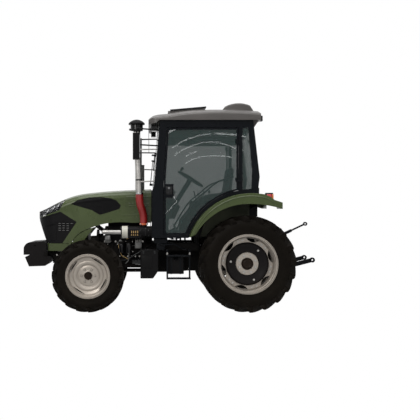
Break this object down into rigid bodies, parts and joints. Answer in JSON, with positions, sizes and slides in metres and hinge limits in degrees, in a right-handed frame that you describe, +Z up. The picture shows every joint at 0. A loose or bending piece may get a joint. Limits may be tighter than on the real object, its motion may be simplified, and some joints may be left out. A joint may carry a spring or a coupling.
{
  "type": "farm tractor with cab",
  "caption": "Four-wheel-drive farm tractor with an enclosed cab, tilting hood, hinged doors, steered front wheels, front slab weights and a three-point rear linkage.",
  "frame": {"origin": "on the ground, below the middle of the tractor's length and width", "axes": "+X forwards, +Y to the driver's left, +Z up"},
  "size_m": [4.2639, 1.76, 2.9825],
  "materials": {
    "green_paint": "glossy olive green enamel",
    "roof_paint": "satin grey-brown",
    "black_frame": "satin black powder coat",
    "chassis_black": "black painted castings",
    "rim_silver": "satin silver-beige enamel",
    "tyre": "dull black rubber",
    "black_plastic": "fine grain",
    "glass": "lightly tinted",
    "lamp_glass": "clear lens over bright reflectors",
    "lamp_black": "housings with clear and red lenses",
    "red_hose": "silicone rubber, semi-matt",
    "pipe_steel": "brushed",
    "seat_fabric": "woven cloth",
    "linkage_paint": "black enamel",
    "weight_iron": "black painted iron"
  },
  "bodies": {
    "chassis": {"lower_fairings": "green_paint", "rear_fenders": "green_paint", "bulkhead": "black_frame", "engine": "chassis_black", "radiator": "chassis_black", "drivetrain": "chassis_black", "front_frame": "chassis_black", "front_weights": "weight_iron", "front_axle": "chassis_black", "drawbar": "chassis_black", "air_cleaner": "black_plastic", "intake_pipes": "pipe_steel", "intake_hose": "red_hose", "exhaust": "pipe_steel", "cab_frame": "black_frame", "cab_floor": "black_frame", "cab_glass": "glass", "roof": "roof_paint", "lamps": "lamp_black", "seat": "seat_fabric", "console": "black_plastic", "steering_wheel": "black_plastic", "side_boxes": "black_plastic", "steps": "black_frame", "mirrors": "black_plastic"},
    "hood": {"hood": "green_paint", "grille": "black_plastic", "headlamps": "lamp_glass"},
    "door_left": {"door_left": "black_frame", "door_glass_left": "glass"},
    "door_right": {"door_right": "black_frame", "door_glass_right": "glass"},
    "roof_hatch": {"roof_hatch": "black_plastic"},
    "knuckle_left": {"knuckle_left": "chassis_black"},
    "knuckle_right": {"knuckle_right": "chassis_black"},
    "tie_rod": {"tie_rod": "linkage_paint"},
    "front_wheel_left": {"front_rim_left": "rim_silver", "front_tyre_left": "tyre"},
    "front_wheel_right": {"front_rim_right": "rim_silver", "front_tyre_right": "tyre"},
    "rear_wheel_left": {"rear_rim_left": "rim_silver", "rear_weight_left": "weight_iron", "rear_tyre_left": "tyre"},
    "rear_wheel_right": {"rear_rim_right": "rim_silver", "rear_weight_right": "weight_iron", "rear_tyre_right": "tyre"},
    "lift_arms": {"lift_arms": "linkage_paint"},
    "lift_rods": {"lift_rods": "linkage_paint"},
    "lower_links": {"lower_links": "linkage_paint"},
    "top_link": {"top_link": "linkage_paint"}
  },
  "joints": [
    {"name": "hood_tilt", "type": "hinge", "parent": "chassis", "child": "hood", "pos_m": [0.305, 0, 1.69], "axis": [0, -1, 0], "range_deg": [0, 55]},
    {"name": "door_left_swing", "type": "hinge", "parent": "chassis", "child": "door_left", "pos_m": [-0.935, 0.672, 1.86], "axis": [0, 0, 1], "range_deg": [0, 70]},
    {"name": "door_right_swing", "type": "hinge", "parent": "chassis", "child": "door_right", "pos_m": [-0.935, -0.672, 1.86], "axis": [0, 0, -1], "range_deg": [0, 70]},
    {"name": "roof_hatch_tilt", "type": "hinge", "parent": "chassis", "child": "roof_hatch", "pos_m": [0.004, 0, 2.886], "axis": [0, 1, 0], "range_deg": [0, 20]},
    {"name": "steer_left", "type": "hinge", "parent": "chassis", "child": "knuckle_left", "pos_m": [1.147, 0.56, 0.505], "axis": [0, 0, 1], "range_deg": [-40, 40]},
    {"name": "steer_right", "type": "hinge", "parent": "chassis", "child": "knuckle_right", "pos_m": [1.147, -0.56, 0.505], "axis": [0, 0, 1], "range_deg": [-40, 40]},
    {"name": "tie_rod_turn", "type": "hinge", "parent": "knuckle_left", "child": "tie_rod", "pos_m": [0.967, 0.56, 0.39], "axis": [0, 0, 1], "range_deg": [-40, 40]},
    {"name": "front_wheel_left_spin", "type": "hinge", "parent": "knuckle_left", "child": "front_wheel_left", "pos_m": [1.147, 0.71, 0.505], "axis": [0, 1, 0], "continuous": true},
    {"name": "front_wheel_right_spin", "type": "hinge", "parent": "knuckle_right", "child": "front_wheel_right", "pos_m": [1.147, -0.71, 0.505], "axis": [0, 1, 0], "continuous": true},
    {"name": "rear_wheel_left_spin", "type": "hinge", "parent": "chassis", "child": "rear_wheel_left", "pos_m": [-1.075, 0.68, 0.675], "axis": [0, 1, 0], "continuous": true},
    {"name": "rear_wheel_right_spin", "type": "hinge", "parent": "chassis", "child": "rear_wheel_right", "pos_m": [-1.075, -0.68, 0.675], "axis": [0, 1, 0], "continuous": true},
    {"name": "lift_arm_turn", "type": "hinge", "parent": "chassis", "child": "lift_arms", "pos_m": [-1.27, 0, 1.08], "axis": [0, 1, 0], "range_deg": [-24, 30]},
    {"name": "lower_link_turn", "type": "hinge", "parent": "chassis", "child": "lower_links", "pos_m": [-1.285, 0, 0.488], "axis": [0, 1, 0], "range_deg": [-16.5, 20.5]},
    {"name": "lift_rod_turn", "type": "hinge", "parent": "lift_arms", "child": "lift_rods", "pos_m": [-1.62, 0, 1.13], "axis": [0, 1, 0], "range_deg": [-30.5, 24.5]},
    {"name": "top_link_turn", "type": "hinge", "parent": "chassis", "child": "top_link", "pos_m": [-1.36, 0, 0.888], "axis": [0, 1, 0], "range_deg": [-40, 25]}
  ],
  "couplings": [
    {"joint": "steer_right", "follows": "steer_left", "ratio": 1},
    {"joint": "tie_rod_turn", "follows": "steer_left", "ratio": -1},
    {"joint": "lower_link_turn", "follows": "lift_arm_turn", "ratio": 0.667},
    {"joint": "lift_rod_turn", "follows": "lift_arm_turn", "ratio": -1}
  ]
}
